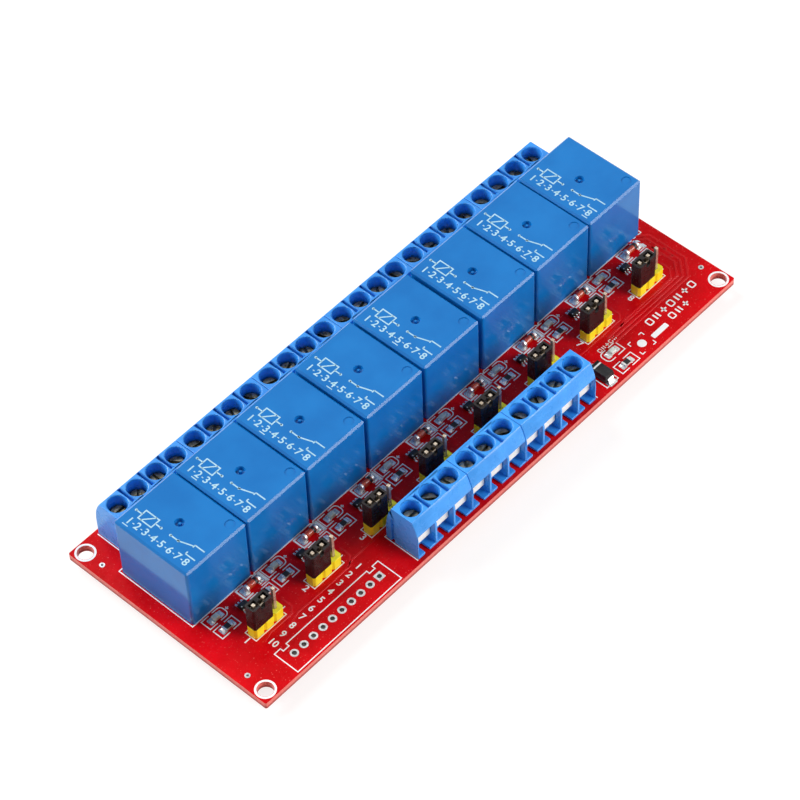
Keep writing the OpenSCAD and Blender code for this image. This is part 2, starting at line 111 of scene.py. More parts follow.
class Shader:
    """A node material under construction."""

    def __init__(self, name):
        self.material = bpy.data.materials.new(name)
        self.material.use_nodes = True
        self.tree = self.material.node_tree
        self.surface = self.tree.nodes["Principled BSDF"]
        self.place = self.add("ShaderNodeTexCoord").outputs["Object"]

    def add(self, kind, **values):
        node = self.tree.nodes.new(kind)
        for key, value in values.items():
            setattr(node, key, value)
        return node

    def link(self, source, target):
        self.tree.links.new(source, target)

    def feed(self, source, name):
        """Links a value to the surface's socket of that name."""
        self.link(source, self.surface.inputs[name])

    def noise(self, size, detail, rough=0.5):
        """Soft noise whose lumps are about size millimetres across."""
        node = self.add("ShaderNodeTexNoise")
        node.inputs["Scale"].default_value = 1 / (size * MM)
        node.inputs["Detail"].default_value = detail
        node.inputs["Roughness"].default_value = rough
        self.link(self.place, node.inputs["Vector"])
        return node.outputs["Fac"]

    def clouds(self, size, dark, light, edges=(0.3, 0.7), detail=3, rough=0.5):
        """Two colours or greys in soft noise, blended between the edges of its range."""
        fac = self.noise(size, detail, rough)
        node = self.add("ShaderNodeValToRGB")
        for element, edge, tone in zip(node.color_ramp.elements, edges, (dark, light)):
            element.position = edge
            element.color = (*tone, 1) if hasattr(tone, "__len__") else (tone, tone, tone, 1)
        self.link(fac, node.inputs["Fac"])
        return node.outputs["Color"]

    def mix(self, factor, first, second):
        """Colour first where factor is 0 and second where it is 1."""
        node = self.add("ShaderNodeMix", data_type="RGBA")
        sockets = (node.inputs[0], node.inputs[6], node.inputs[7])
        for socket, value in zip(sockets, (factor, first, second)):
            if isinstance(value, bpy.types.NodeSocket):
                self.link(value, socket)
            else:
                socket.default_value = (*value, 1)
        return node.outputs[2]

    def relief(self, height, depth):
        """A bump of about depth millimetres."""
        node = self.add("ShaderNodeBump")
        node.inputs["Distance"].default_value = depth * MM
        self.link(height, node.inputs["Height"])
        self.feed(node.outputs["Normal"], "Normal")

    def upright(self):
        """1 on walls and 0 on level faces."""
        split = self.add("ShaderNodeSeparateXYZ")
        self.link(self.add("ShaderNodeNewGeometry").outputs["True Normal"], split.inputs[0])
        level = self.add("ShaderNodeMath", operation="ABSOLUTE")
        self.link(split.outputs["Z"], level.inputs[0])
        wall = self.add("ShaderNodeMath", operation="LESS_THAN")
        self.link(level.outputs[0], wall.inputs[0])
        wall.inputs[1].default_value = 0.5
        return wall.outputs[0]

    def below(self, height):
        """1 under a height in millimetres, fading to 0 above it."""
        split = self.add("ShaderNodeSeparateXYZ")
        self.link(self.place, split.inputs[0])
        span = self.add("ShaderNodeMapRange")
        self.link(split.outputs["Z"], span.inputs["Value"])
        span.inputs["From Min"].default_value = (height - 0.12) * MM
        span.inputs["From Max"].default_value = (height + 0.12) * MM
        span.inputs["To Min"].default_value = 1
        span.inputs["To Max"].default_value = 0
        return span.outputs["Result"]


def shade(
    name, dark, light, cloud=4.0, gloss=(0.3, 0.4), gloss_size=2.0, grain=0.25, depth=0.004, **sockets
):
    """Two close tones in soft clouds, uneven gloss and a fine grain. Sizes are in millimetres."""
    shader = Shader(name)
    shader.feed(shader.clouds(cloud, dark, light, edges=(0.35, 0.65)), "Base Color")
    shader.feed(shader.clouds(gloss_size, *gloss), "Roughness")
    shader.relief(shader.noise(grain, 2), depth)
    for key, value in sockets.items():
        shader.surface.inputs[key.replace("_", " ")].default_value = value
    return shader


def board_mask():
    """Red mask with dust specks, and the bare laminate on the board's cut edges."""
    shader = Shader("red_mask")
    tone = shader.clouds(7, (0.54, 0.001, 0.003), (0.76, 0.003, 0.008), detail=5, rough=0.65)
    specks = shader.clouds(0.33, 0.0, 1.0, edges=(0.70, 0.75), detail=1, rough=0.4)
    dusty = shader.mix(specks, tone, (0.80, 0.10, 0.09))
    core = shader.clouds(0.5, (0.74, 0.15, 0.125), (0.84, 0.22, 0.18))
    # The cut edge turns darker towards its bottom
    skin = shader.clouds(0.5, (0.40, 0.06, 0.05), (0.52, 0.10, 0.08))
    laminate = shader.mix(shader.below(TOP * 0.4), core, skin)
    shader.feed(shader.mix(shader.upright(), dusty, laminate), "Base Color")
    shader.feed(shader.clouds(3, 0.22, 0.32), "Roughness")
    shader.surface.inputs["Specular IOR Level"].default_value = 0.08
    shader.relief(shader.noise(0.8, 3), 0.012)
    return shader.material


def plastic(name, dark, light, **options):
    return shade(name, dark, light, **options).material


def metal(name, dark, light, **options):
    return shade(name, dark, light, Metallic=1.0, **options).material


def glass(name, dark, light, transmission, **options):
    shader = shade(name, dark, light, IOR=1.5, **options)
    shader.surface.inputs["Transmission Weight"].default_value = transmission
    return shader.material


MASK = board_mask()
COPPER_MASK = plastic(
    "red_over_copper", (0.62, 0.002, 0.004), (0.74, 0.004, 0.009),
    cloud=6, gloss=(0.2, 0.3), depth=0.003, Specular_IOR_Level=0.2,
)
RELAY = plastic(
    "relay_cover", (0.004, 0.150, 0.47), (0.007, 0.178, 0.525),
    cloud=9, gloss=(0.08, 0.14), gloss_size=3, grain=0.5, depth=0.0012, Specular_IOR_Level=0.24,
)
TERMINAL = plastic(
    "terminal_housing", (0.030, 0.285, 0.80), (0.045, 0.335, 0.89),
    cloud=3, gloss=(0.24, 0.34), depth=0.003, Specular_IOR_Level=0.5,
)
PRINT = plastic(
    "screen_print", (0.93, 0.93, 0.93), (0.99, 0.99, 0.99), cloud=1.5, gloss=(0.5, 0.65), depth=0.006
)
RELAY_PRINT = plastic(
    "relay_print", (0.33, 0.57, 0.69), (0.42, 0.65, 0.78), cloud=0.8, gloss=(0.45, 0.6), depth=0.006
)
TIN = plastic(
    "tin", (0.52, 0.53, 0.54), (0.84, 0.84, 0.82),
    cloud=0.7, gloss=(0.16, 0.34), gloss_size=0.6, depth=0.02, Metallic=0.55,
)
PAD = metal(
    "tinned_pad", (0.40, 0.40, 0.41), (0.60, 0.60, 0.59), cloud=0.5, gloss=(0.3, 0.5), depth=0.015
)
# Tin plating darkened far below its own tone: painted shade inside the holes
HOLE_PLATING_SHADED = metal(
    "hole_plating_painted_shade", (0.10, 0.09, 0.09), (0.20, 0.19, 0.18), cloud=0.5, gloss=(0.4, 0.55), depth=0.01
)
# Painted shade of a hole, laid as a dark disc on the board's top
HOLE_SHADE = plastic(
    "hole_shade", (0.04, 0.04, 0.045), (0.08, 0.08, 0.085), cloud=0.3, gloss=(0.6, 0.7), depth=0.004
)
NICKEL = plastic(
    "nickel_plate", (0.88, 0.86, 0.79), (0.98, 0.97, 0.92),
    cloud=1.5, gloss=(0.3, 0.42), depth=0.006, Metallic=0.12,
)
# The screws' own brownish plating, darkened well below that tone: painted shade of the deep wells they sit
# in
ZINC_SHADED = metal(
    "zinc_plate_painted_shade", (0.07, 0.065, 0.04), (0.30, 0.29, 0.21), cloud=0.9, gloss=(0.24, 0.42), depth=0.01
)
BRASS = plastic(
    "pin_plating", (0.46, 0.37, 0.28), (0.66, 0.56, 0.44),
    cloud=0.8, gloss=(0.22, 0.36), depth=0.004, Metallic=0.6,
)
YELLOW = plastic(
    "header_plastic", (0.95, 0.80, 0.012), (0.99, 0.88, 0.022),
    cloud=1.5, gloss=(0.34, 0.46), depth=0.004,
)
BLACK = plastic(
    "cap_plastic", (0.008, 0.006, 0.006), (0.018, 0.014, 0.014),
    cloud=1.2, gloss=(0.22, 0.34), depth=0.008, Specular_IOR_Level=0.3,
)
EPOXY = plastic(
    "epoxy", (0.006, 0.006, 0.007), (0.016, 0.016, 0.018),
    cloud=0.7, gloss=(0.3, 0.45), depth=0.006, Specular_IOR_Level=0.3,
)
CERAMIC = plastic(
    "ceramic", (0.66, 0.66, 0.62), (0.78, 0.78, 0.74), cloud=0.6, gloss=(0.4, 0.55), depth=0.004
)
RED_GLASS = glass(
    "red_glass", (0.80, 0.05, 0.02), (0.95, 0.14, 0.05), 0.5, cloud=0.8, gloss=(0.04, 0.08), depth=0.001
)
LENS = glass(
    "lamp_lens", (0.80, 0.88, 0.78), (0.92, 0.97, 0.90), 0.12, cloud=0.3, gloss=(0.12, 0.3), depth=0.012
)
LAMP_CORE = plastic(
    "lamp_core", (0.16, 0.19, 0.16), (0.36, 0.42, 0.34), cloud=0.3, gloss=(0.3, 0.5), depth=0.01
)


# ---------- mesh building ----------

class Shape:
    """Faces gathered from many small forms that become one piece. Millimetres."""

    def __init__(self):
        self.verts = []
        self.faces = []
        self.kinds = []
        self.materials = []

    def add(self, verts, faces, material, matrix=None):
        start = len(self.verts)
        self.verts += [matrix @ Vector(v) if matrix else Vector(v) for v in verts]
        self.faces += [[start + i for i in face] for face in faces]
        if material not in self.materials:
            self.materials.append(material)
        self.kinds += [self.materials.index(material)] * len(faces)

    def prism(self, outline, low, high, material, matrix=None):
        """A straight-walled plate over an anticlockwise outline."""
        n = len(outline)
        verts = [(x, y, low) for x, y in outline] + [(x, y, high) for x, y in outline]
        walls = [[i, (i + 1) % n, n + (i + 1) % n, n + i] for i in range(n)]
        self.add(verts, [list(range(n))[::-1], list(range(n, 2 * n)), *walls], material, matrix)

    def tube(self, rings, material, matrix=None, closed=False):
        """A skin through rings of equal length, closed on itself or capped at both ends."""
        n = len(rings[0])
        verts = [p for ring in rings for p in ring]
        count = len(rings) if closed else len(rings) - 1
        faces = []
        for r in range(count):
            a = r * n
            b = (r + 1) % len(rings) * n
            faces += [[a + i, a + (i + 1) % n, b + (i + 1) % n, b + i] for i in range(n)]
        if not closed:
            faces += [list(range(n))[::-1], [(len(rings) - 1) * n + i for i in range(n)]]
        self.add(verts, faces, material, matrix)

    def turned(self, profile, material, matrix=None, steps=32, closed=False):
        """A profile of (radius, height) points turned about Z, upwards or round a closed section."""
        rings = [[(x, y, z) for x, y in disc(radius, steps)] for radius, z in profile]
        self.tube(rings, material, matrix, closed=closed)

    def piece(self, name, body, slot, smooth=None):
        """The gathered faces as an object that rides on a body."""
        mesh = bpy.data.meshes.new(name)
        mesh.from_pydata([v * MM for v in self.verts], [], self.faces)
        for material in self.materials:
            mesh.materials.append(material)
        mesh.polygons.foreach_set("material_index", self.kinds)
        mesh.update()
        obj = bpy.data.objects.new(name, mesh)
        bpy.context.scene.collection.objects.link(obj)
        if smooth is not None:
            mesh.shade_smooth()
            mesh.set_sharp_from_angle(angle=math.radians(smooth))
        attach(obj, body)
        return obj


def at(x=0, y=0, z=TOP, turn=0):
    """A place on the board, turned about Z by so many degrees."""
    return Matrix.Translation((x, y, z)) @ Matrix.Rotation(math.radians(turn), 4, "Z")


def rounded(width, depth, radius, steps=5):
    """An anticlockwise rectangle about the origin with round corners."""
    points = []
    for i, (sx, sy) in enumerate(((1, 1), (-1, 1), (-1, -1), (1, -1))):
        for s in range(steps + 1):
            angle = math.pi / 2 * (i + s / steps)
            points.append((
                sx * (width / 2 - radius) + radius * math.cos(angle),
                sy * (depth / 2 - radius) + radius * math.sin(angle),
            ))
    return points


def disc(radius, steps=28):
    angles = [2 * math.pi * i / steps for i in range(steps)]
    return [(radius * math.cos(a), radius * math.sin(a)) for a in angles]


def mitred(points, width, closed):
    """The two sides of a line of even width through points."""
    n = len(points)
    left, right = [], []
    for i, point in enumerate(points):
        p = Vector(point)
        before = Vector(points[i - 1]) if closed or i > 0 else None
        after = Vector(points[(i + 1) % n]) if closed or i < n - 1 else None
        arms = [(p - before).normalized()] if before is not None else []
        arms += [(after - p).normalized()] if after is not None else []
        along = sum(arms, Vector((0, 0))).normalized()
        across = Vector((-along.y, along.x)) * (width / 2 / max(0.4, along.dot(arms[0])))
        left.append(p + across)
        right.append(p - across)
    return left, right


def stroke(shape, points, width, low, high, material, closed=False, chamfer=0.0):
    """A printed or etched line: a low ridge of even width along points."""
    left, right = mitred(points, width, closed)
    left_top, right_top = mitred(points, width - 2 * chamfer, closed)
    rings = [
        [(*l, low), (*r, low), (*rt, high), (*lt, high)]
        for l, r, lt, rt in zip(left, right, left_top, right_top)
    ]
    shape.tube(rings, material, closed=closed)


def arc(x, y, radius, start, end, steps=8):
    angles = [math.radians(start + (end - start) * i / steps) for i in range(steps + 1)]
    return [(x + radius * math.cos(a), y + radius * math.sin(a)) for a in angles]


# Blender's own font: its size for figures of height 1, and what thickens their outlines
FIGURE_SIZE = 1.38
FIGURE_WEIGHT = 0.035


def numeral(shape, text, x, y, height, low, high, material):
    """Plain figures centred on a place, upright as seen from the -X side."""
    curve = bpy.data.curves.new("figures", "FONT")
    curve.body = text
    curve.size = height * FIGURE_SIZE
    curve.align_x = "CENTER"
    curve.align_y = "CENTER"
    curve.resolution_u = 3
    curve.offset = FIGURE_WEIGHT
    curve.extrude = (high - low) / 2
    holder = bpy.data.objects.new("figures", curve)
    bpy.context.scene.collection.objects.link(holder)
    bpy.context.view_layer.update()
    evaluated = holder.evaluated_get(bpy.context.evaluated_depsgraph_get())
    mesh = bpy.data.meshes.new_from_object(evaluated)
    verts = [v.co.copy() for v in mesh.vertices]
    faces = [list(p.vertices) for p in mesh.polygons]
    bpy.data.objects.remove(holder)
    bpy.data.curves.remove(curve)
    bpy.data.meshes.remove(mesh)
    shape.add(verts, faces, material, at(x, y, (low + high) / 2, -90))


# ---------- camera, floor and light ----------

# The photo's view: azimuth, elevation and roll, and a point near the middle of the part
VIEW_ANGLES = (-45.427, 50.875, -2.856)
VIEW_AIM = (-2.925, -0.014, 0.4)
VIEW_DISTANCE = 635.208
VIEW_LENS = 150.18

# The floor: its grey for light that bounces, its grey and glow where it is looked at, and its reach
# in metres
FLOOR_BOUNCE = 0.80
FLOOR_SEEN = 0.30
FLOOR_GLOW = 0.80
FLOOR_TINT = (1, 0.975, 0.965)
FLOOR_HALF = 3.0


# Soft light from all round, and the lamps: name, direction, distance and size in metres, and watts
AMBIENT = 0.20
LIGHTS = (
    ("back", (-0.05, 0.72, 0.70), 0.8, 0.45, 4.6),
    ("left", (-0.55, 0.72, 0.45), 0.9, 0.45, 4.6),
    ("right", (0.42, -0.78, 0.42), 0.9, 0.5, 7.0),
)


def add_camera():
    azimuth, elevation, roll = (math.radians(a) for a in VIEW_ANGLES)
    aim = (CAD_BOX[0] + CAD_BOX[1]) / 2 + Vector(VIEW_AIM) * MM
    turn = (
        Matrix.Rotation(azimuth, 4, "Z")
        @ Matrix.Rotation(math.pi / 2 - elevation, 4, "X")
        @ Matrix.Rotation(roll, 4, "Z")
    )
    data = bpy.data.cameras.new("camera")
    data.sensor_width = 36
    data.lens = VIEW_LENS
    data.clip_start = 0.01
    camera = bpy.data.objects.new("camera", data)
    back = turn.to_3x3() @ Vector((0, 0, VIEW_DISTANCE * MM))
    camera.matrix_world = Matrix.Translation(aim + back) @ turn
    bpy.context.scene.collection.objects.link(camera)
    bpy.context.scene.camera = camera


def seen_directly(tree):
    """1 for camera, mirror and see-through rays, and 0 for the light that the surroundings give."""
    paths = tree.nodes.new("ShaderNodeLightPath")
    total = paths.outputs["Is Camera Ray"]
    for name in ("Is Glossy Ray", "Is Transmission Ray"):
        node = tree.nodes.new("ShaderNodeMath")
        node.operation = "MAXIMUM"
        tree.links.new(total, node.inputs[0])
        tree.links.new(paths.outputs[name], node.inputs[1])
        total = node.outputs[0]
    return total


def add_world():
    """Soft even light, with a white background where it is looked at."""
    world = bpy.data.worlds.new("studio")
    world.use_nodes = True
    tree = world.node_tree
    strength = tree.nodes.new("ShaderNodeMix")
    tree.links.new(seen_directly(tree), strength.inputs[0])
    strength.inputs[2].default_value = AMBIENT
    strength.inputs[3].default_value = 1.0
    background = tree.nodes["Background"]
    background.inputs["Color"].default_value = (1, 1, 1, 1)
    tree.links.new(strength.outputs[0], background.inputs["Strength"])
    bpy.context.scene.world = world


def floor_material():
    """A pale matt floor that keeps a light shadow and reads as white where it is looked at."""
    material = bpy.data.materials.new("floor")
    material.use_nodes = True
    tree = material.node_tree
    surface = tree.nodes["Principled BSDF"]
    seen = seen_directly(tree)
    tone = tree.nodes.new("ShaderNodeMix")
    tone.data_type = "RGBA"
    tree.links.new(seen, tone.inputs[0])
    tone.inputs[6].default_value = (FLOOR_BOUNCE, FLOOR_BOUNCE, FLOOR_BOUNCE, 1)
    tone.inputs[7].default_value = (FLOOR_SEEN, FLOOR_SEEN, FLOOR_SEEN, 1)
    tree.links.new(tone.outputs[2], surface.inputs["Base Color"])
    surface.inputs["Roughness"].default_value = 1.0
    surface.inputs["Specular IOR Level"].default_value = 0.0
    surface.inputs["Emission Color"].default_value = (*FLOOR_TINT, 1)
    glow = tree.nodes.new("ShaderNodeMath")
    glow.operation = "MULTIPLY"
    glow.inputs[1].default_value = FLOOR_GLOW
    tree.links.new(seen, glow.inputs[0])
    tree.links.new(glow.outputs[0], surface.inputs["Emission Strength"])
    return material


def add_floor():
    half = FLOOR_HALF
    z = CAD_BOX[0].z
    mesh = bpy.data.meshes.new("floor")
    corners = [(-half, -half, z), (half, -half, z), (half, half, z), (-half, half, z)]
    mesh.from_pydata(corners, [], [[0, 1, 2, 3]])
    mesh.materials.append(floor_material())
    floor = bpy.data.objects.new("floor", mesh)
    bpy.context.scene.collection.objects.link(floor)


def add_light(name, direction, distance, size, power):
    """A square soft light that faces the part from a direction."""
    data = bpy.data.lights.new(name, "AREA")
    data.size = size
    data.energy = power
    lamp = bpy.data.objects.new(name, data)
    place = Vector(direction).normalized() * distance
    lamp.matrix_world = Matrix.Translation(place) @ place.to_track_quat("Z", "Y").to_matrix().to_4x4()
    bpy.context.scene.collection.objects.link(lamp)


# ---------- CAD nodes ----------

def round_edges(obj, width):
    """Small rounded edges, which catch the light as moulded ones do."""
    obj.modifiers.new("weld", "WELD").merge_threshold = 0.0005 * MM
    bevel = obj.modifiers.new("edges", "BEVEL")
    bevel.width = width * MM
    bevel.segments = 2
    bevel.limit_method = "ANGLE"
    bevel.angle_limit = math.radians(34)
    bevel.harden_normals = True


def dress(names, material, edge=None):
    """Gives CAD nodes their material and, where they are moulded or stamped, small rounded edges."""
    for name in names:
        node = NODES[name]
        node.material_slots[0].material = material
        if edge:
            round_edges(node, edge)


def each(pattern, count):
    return [pattern.format(k) for k in range(1, count + 1)]


# ---------- small parts and their solder ----------

# Length along X, width and height
CHIP_SIZE = (2.0, 1.25, 0.5)
LAMP_SIZE = (2.0, 1.25, 0.8)
LAMP_BASE = 0.28
DIODE_LENGTH = 3.5
DIODE_RADIUS = 0.72
DIODE_END = 0.55

# A transistor's lead: how far out it starts and ends, and its section and height at the body
LEAD_IN = 0.65
LEAD_OUT = 1.2
LEAD_WIDTH = 0.26
LEAD_THICKNESS = 0.12
LEAD_TOP = 0.42

# Solder: its section as shares of half its width and of its height, and the height of its outer edge
SOLDER_SECTION = ((-1, 0), (1, 0), (0.96, 0.7), (0.6, 1), (-0.6, 1), (-0.96, 0.7))
SOLDER_STEPS = 7
SOLDER_EDGE = 0.05

# Places from the middle of a channel's header, as in the CAD
LED_AT = (-5.17, 7.8)
LED_RESISTOR_AT = (-5.2, 4.75)
DIODE_AT = (4.5, 7.8)
BASE_RESISTOR_AT = (4.86, 4.75)
TRANSISTOR_AT = (0.05, 5.73)
# Places on the board, as in the CAD
POWER_LED_AT = from_corner(103.75, 6.1)
POWER_RESISTOR_AT = from_corner(103.55, 2.2)
RECTIFIER = Box("input_diode")


def shifted(place, x, y=0.0, z=0.0):
    return place @ Matrix.Translation((x, y, z))


def solder_wedge(shape, place, inner, outer, width_in, width_out, height):
    """Solder that climbs from the pad's outer end to the part's end face, hollow like a meniscus."""
    rings = []
    for i in range(SOLDER_STEPS + 1):
        t = i / SOLDER_STEPS
        x = outer + (inner - outer) * t
        half = (width_out + (width_in - width_out) * t) / 2
        rise = SOLDER_EDGE + (height - SOLDER_EDGE) * t ** 2.4
        rings.append([(x, half * across, rise * up) for across, up in SOLDER_SECTION])
    if inner < outer:
        rings = [ring[::-1] for ring in rings]
    shape.tube(rings, TIN, place)


def pad(shape, place, x, y, width, depth):
    """A flat tinned pad with small round corners."""
    outline = rounded(width, depth, min(width, depth) * 0.18, 3)
    shape.prism([(px + x, py + y) for px, py in outline], -0.01, 0.04, TIN, place)


def chip_joint(shape, place, side, length, width, height):
    """The pad and the solder at one end of a chip part."""
    end = length / 2
    pad(shape, place, side * (end + 0.15), 0, 1.15, width + 0.25)
    solder_wedge(shape, place, side * end, side * (end + 0.62), width * 0.9, width + 0.1, height)


def chip(shape, place):
    """A chip resistor along X: dark top on white ceramic, wrapped metal ends, pads and solder."""
    length, width, height = CHIP_SIZE
    cap = length * 0.2
    shape.prism(rounded(length - 0.06, width - 0.06, 0.03, 1), 0.03, height - 0.06, CERAMIC, place)
    shape.prism(rounded(length - 2 * cap, width - 0.12, 0.05, 1), height - 0.08, height, EPOXY, place)
    for side in (-1, 1):
        end = shifted(place, side * (length - cap) / 2)
        shape.prism(rounded(cap, width, 0.06, 2), 0.02, height + 0.03, TIN, end)
        chip_joint(shape, place, side, length, width, height * 0.85)


def lamp(shape, place):
    """A chip lamp along X: milky lens on a thin base, with solder at both ends."""
    length, width, height = LAMP_SIZE
    base = LAMP_BASE
    shape.prism(rounded(length, width, 0.05, 1), 0.03, base, CERAMIC, place)
    lens = []
    for inset, z in ((0.30, base), (0.32, height * 0.7), (0.40, height * 0.93), (0.52, height)):
        outline = rounded(length - 2 * inset, width - 2 * (inset - 0.28), 0.16, 4)
        lens.append([(x, y, z) for x, y in outline])
    shape.tube(lens, LENS, place)
    shape.prism(rounded(0.42, 0.42, 0.05, 1), base, base + 0.2, LAMP_CORE, shifted(place, -0.18))
    shape.prism(rounded(0.5, 0.2, 0.05, 1), base, base + 0.12, LAMP_CORE, shifted(place, 0.32, 0.1))
    for side in (-1, 1):
        end = shifted(place, side * (length / 2 - 0.17))
        shape.prism(rounded(0.36, width + 0.02, 0.05, 1), 0.02, base + 0.03, TIN, end)
        chip_joint(shape, place, side, length, width, base)


def glass_diode(shape, place):
    """A glass tube along X with tinned ends, a die between two studs, and a band at the +X end."""
    half = DIODE_LENGTH / 2
    inner = half - DIODE_END
    lie = shifted(place, 0, 0, DIODE_RADIUS + 0.04) @ Matrix.Rotation(math.pi / 2, 4, "Y")

    def skin(profile, material):
        """A skin whose radii are shares of the diode's."""
        shape.turned([(DIODE_RADIUS * share, z) for share, z in profile], material, lie)

    for side in (-1, 1):
        low, high = sorted((side * half, side * inner))
        skin([(0.86, low), (1.02, low + 0.07), (1.02, high - 0.07), (0.9, high)], TIN)
        shape.turned([(0.26, z) for z in sorted((side * inner, side * 0.22))], BRASS, lie)
        pad(shape, place, side * (half + 0.15), 0, 1.5, 1.9)
        solder_wedge(
            shape, place, side * (half - 0.02), side * (half + 0.72), 1.2, 1.6, DIODE_RADIUS * 1.5
        )
    shape.prism(rounded(0.5, 0.5, 0.05, 1), -0.12, 0.12, LAMP_CORE, lie)
    skin([(0.88, -inner), (0.97, -inner + 0.15), (0.97, inner - 0.15), (0.88, inner)], RED_GLASS)
    skin([(0.9, inner - 0.75), (0.985, inner - 0.72), (0.985, inner - 0.17), (0.9, inner - 0.14)], EPOXY)


def strip(shape, place, path, x, width, lean, thickness, side):
    """A bent tinned strip that follows a path of (distance out, height) on one side of a part."""
    left = x - width / 2
    right = x + width / 2
    rings = []
    for y, z in path:
        inner = side * y
        outer = side * (y + lean)
        top = z + thickness
        ring = [(left, inner, z), (right, inner, z), (right, outer, top), (left, outer, top)]
        rings.append(ring[::side])
    shape.tube(rings, TIN, place)


def moulded(shape, place, width, depth, low, high, draft):
    """A moulded package whose sides lean in above and below its middle."""
    middle = (low + high) / 2
    levels = (
        (draft, low), (0, middle - 0.05), (0, middle + 0.05), (draft, high - 0.04), (draft + 0.05, high),
    )
    rings = []
    for inset, z in levels:
        outline = rounded(width - 2 * inset, depth - 2 * inset, 0.08, 2)
        rings.append([(x, y, z) for x, y in outline])
    shape.tube(rings, EPOXY, place)


def transistor(shape, place):
    """A six-lead moulded package with a spot in one corner of its top."""
    moulded(shape, place, 2.0, 1.3, 0.06, 0.98, 0.09)
    knee = LEAD_IN + (LEAD_OUT - LEAD_IN) * 0.4
    path = (
        (LEAD_IN - 0.1, LEAD_TOP), (knee - 0.06, LEAD_TOP), (knee, LEAD_TOP - 0.06),
        (knee + 0.04, 0.12), (knee + 0.1, 0.05), (LEAD_OUT, 0.05),
    )
    foot = rounded(LEAD_WIDTH + 0.12, 0.75, 0.08, 2)
    for x in (-0.7, 0, 0.7):
        for side in (-1, 1):
            strip(shape, place, path, x, LEAD_WIDTH, 0.02, LEAD_THICKNESS, side)
            outline = [(px + x, side * (LEAD_OUT - 0.1) + py) for px, py in foot]
            shape.prism(outline, -0.01, 0.05, TIN, place)
    shape.turned([(0.13, 0.972), (0.13, 0.985)], CERAMIC, shifted(place, -0.68, -0.3), steps=12)


def rectifier(shape, place, size):
    """A large moulded diode along Y: a broad lead folded under each end, and a band on top."""
    moulded(shape, place, size.x, size.y - 0.8, 0.12, size.z, 0.16)
    half = size.y / 2
    path = (
        (half - 0.62, 1.0), (half - 0.2, 0.98), (half - 0.06, 0.85),
        (half - 0.04, 0.2), (half - 0.12, 0.06), (half - 0.9, 0.05),
    )
    for side in (-1, 1):
        strip(shape, place, path, 0, 1.44, -0.1, 0.16, side)
        pad(shape, place, 0, side * (half - 0.15), 2.2, 1.9)
        outwards = place @ Matrix.Rotation(math.radians(90 * side), 4, "Z")
        solder_wedge(shape, outwards, half - 0.05, half + 0.68, 1.5, 2.0, 0.6)
    band = rounded(size.x - 0.45, 0.35, 0.02, 1)
    shape.prism(band, size.z - 0.01, size.z + 0.012, CERAMIC, shifted(place, 0, 1.1))


def add_small_parts():
    resistors, lamps, diodes, transistors, power_lamp, rectifiers = (Shape() for _ in range(6))
    for k in CHANNELS:
        lamp(lamps, at(*at_channel(k, *LED_AT)))
        chip(resistors, at(*at_channel(k, *LED_RESISTOR_AT)))
        chip(resistors, at(*at_channel(k, *BASE_RESISTOR_AT)))
        glass_diode(diodes, at(*at_channel(k, *DIODE_AT)))
        transistor(transistors, at(*at_channel(k, *TRANSISTOR_AT)))
    chip(resistors, at(*POWER_RESISTOR_AT))
    lamp(power_lamp, at(*POWER_LED_AT, turn=180))
    rectifier(rectifiers, at(RECTIFIER.mid.x, RECTIFIER.mid.y), RECTIFIER.size)
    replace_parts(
        resistors.piece("chip_resistors_soldered", "board", "chip_black", smooth=30), "chip_resistors"
    )
    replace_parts(lamps.piece("status_leds_soldered", "board", "led_lens", smooth=40), "status_leds")
    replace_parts(power_lamp.piece("power_led_soldered", "board", "led_lens", smooth=40), "power_led")
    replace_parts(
        diodes.piece("flyback_diodes_soldered", "board", "diode_glass", smooth=40), "flyback_diodes"
    )
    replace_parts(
        transistors.piece("transistors_soldered", "board", "chip_black", smooth=35), "transistors"
    )
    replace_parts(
        rectifiers.piece("input_diode_soldered", "board", "chip_black", smooth=35), "input_diode"
    )


# ---------- print on the board ----------

FILM = 0.02
PRINT_LOW = TOP - 0.01
PRINT_HIGH = TOP + FILM
LINE = 0.22
THIN_LINE = 0.2
FIGURE_HEIGHT = 1.5
# The gap between two brackets
OPENING = 0.9
HEADER_GAP = 0.16
RING_INNER = 1.66
RING_OUTER = 2.08

# Outlines as x0, y0, x1, y1 from the middle of a channel's header
CHIP_AREAS = ((-7.65, 3.55, -2.85, 6.0), (2.15, 3.55, 7.1, 6.0))
LAMP_AREA = (-7.65, 6.7, -2.75, 9.1)
LAMP_PLUS_AT = (-2.2, 7.85)
DIODE_AREA = (1.5, 6.5, 7.55, 9.15)
NUMBER_AT = (-5.0, -0.1)
# Outlines from the board's front left corner
POWER_LAMP_AREA = (101.4, 4.75, 106.1, 7.4)
POWER_CHIP_AREA = (101.0, 1.0, 106.1, 3.45)
SOCKET_AREA = (8.9, 0.48, 36.75, 6.4)

SOCKET_PINS = 10
PIN_PITCH = 2.54
SOCKET_LEFT, SOCKET_Y = from_corner(22.94 - (SOCKET_PINS - 1) / 2 * PIN_PITCH, 3.84)


def print_line(shape, points, closed=False, width=LINE):
    stroke(shape, points, width, PRINT_LOW, PRINT_HIGH, PRINT, closed)


def print_patch(shape, x, y, outline):
    shape.prism([(x + px, y + py) for px, py in outline], PRINT_LOW, PRINT_HIGH, PRINT)


def print_number(shape, number, x, y):
    numeral(shape, str(number), x, y, FIGURE_HEIGHT, PRINT_LOW, PRINT_HIGH, PRINT)


def print_plus(shape, x, y, half, width=LINE):
    print_line(shape, [(x - half, y), (x + half, y)], width=width)
    print_line(shape, [(x, y - half), (x, y + half)], width=width)


def bracket(shape, x0, y0, x1, y1, start):
    """Two square brackets round a part, with an opening between them so far from the -X end."""
    left = x0 + start
    right = left + OPENING
    print_line(shape, [(left, y1), (x0, y1), (x0, y0), (left, y0)])
    print_line(shape, [(right, y0), (x1, y0), (x1, y1), (right, y1)])


